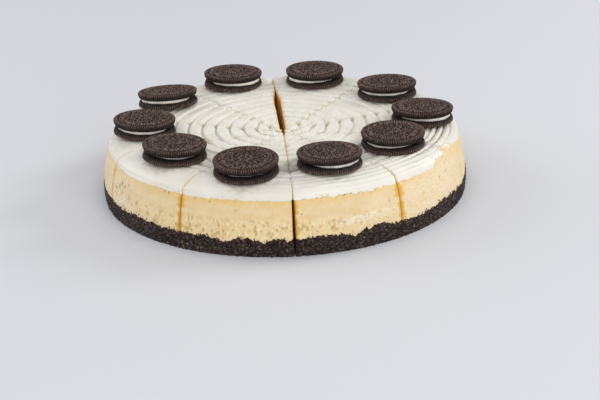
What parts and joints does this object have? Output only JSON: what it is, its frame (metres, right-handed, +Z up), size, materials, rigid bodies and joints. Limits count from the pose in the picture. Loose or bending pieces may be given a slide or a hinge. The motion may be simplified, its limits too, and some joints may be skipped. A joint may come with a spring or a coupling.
{
  "type": "baked cheesecake",
  "caption": "Round baked cheesecake on a dark crumb crust, topped with ring-combed cream and sandwich biscuits, cut through into slices that stand together.",
  "frame": {"origin": "on the cake's axis, level with the underside of the crust that it rests on", "axes": "+Z up through the cake's axis; -Y towards the side the picture shows, where the front knife cut lies; +X to that view's right"},
  "size_m": [0.2601, 0.2598, 0.0603],
  "materials": {
    "crust": "rough near-black biscuit crumb",
    "filling": "pale warm yellow baked curd, fine pores, slightly moist",
    "cream": "off-white whipped cream, soft satin",
    "wafer": "dark cocoa biscuit, matte, finely embossed",
    "wafer_cream": "off-white biscuit filling, matte"
  },
  "bodies": {
    "root": {"crust_01": "crust", "filling_01": "filling", "cream_01": "cream", "wafer_lower_01": "wafer", "wafer_cream_01": "wafer_cream", "wafer_upper_01": "wafer", "crust_02": "crust", "filling_02": "filling", "cream_02": "cream", "wafer_lower_02": "wafer", "wafer_cream_02": "wafer_cream", "wafer_upper_02": "wafer", "crust_03": "crust", "filling_03": "filling", "cream_03": "cream", "wafer_lower_03": "wafer", "wafer_cream_03": "wafer_cream", "wafer_upper_03": "wafer", "crust_04": "crust", "filling_04": "filling", "cream_04": "cream", "wafer_lower_04": "wafer", "wafer_cream_04": "wafer_cream", "wafer_upper_04": "wafer", "crust_05": "crust", "filling_05": "filling", "cream_05": "cream", "wafer_lower_05": "wafer", "wafer_cream_05": "wafer_cream", "wafer_upper_05": "wafer", "crust_06": "crust", "filling_06": "filling", "cream_06": "cream", "wafer_lower_06": "wafer", "wafer_cream_06": "wafer_cream", "wafer_upper_06": "wafer", "crust_07": "crust", "filling_07": "filling", "cream_07": "cream", "wafer_lower_07": "wafer", "wafer_cream_07": "wafer_cream", "wafer_upper_07": "wafer", "crust_08": "crust", "filling_08": "filling", "cream_08": "cream", "wafer_lower_08": "wafer", "wafer_cream_08": "wafer_cream", "wafer_upper_08": "wafer", "crust_09": "crust", "filling_09": "filling", "cream_09": "cream", "wafer_lower_09": "wafer", "wafer_cream_09": "wafer_cream", "wafer_upper_09": "wafer", "crust_10": "crust", "filling_10": "filling", "cream_10": "cream", "wafer_lower_10": "wafer", "wafer_cream_10": "wafer_cream", "wafer_upper_10": "wafer"}
  },
  "joints": []
}
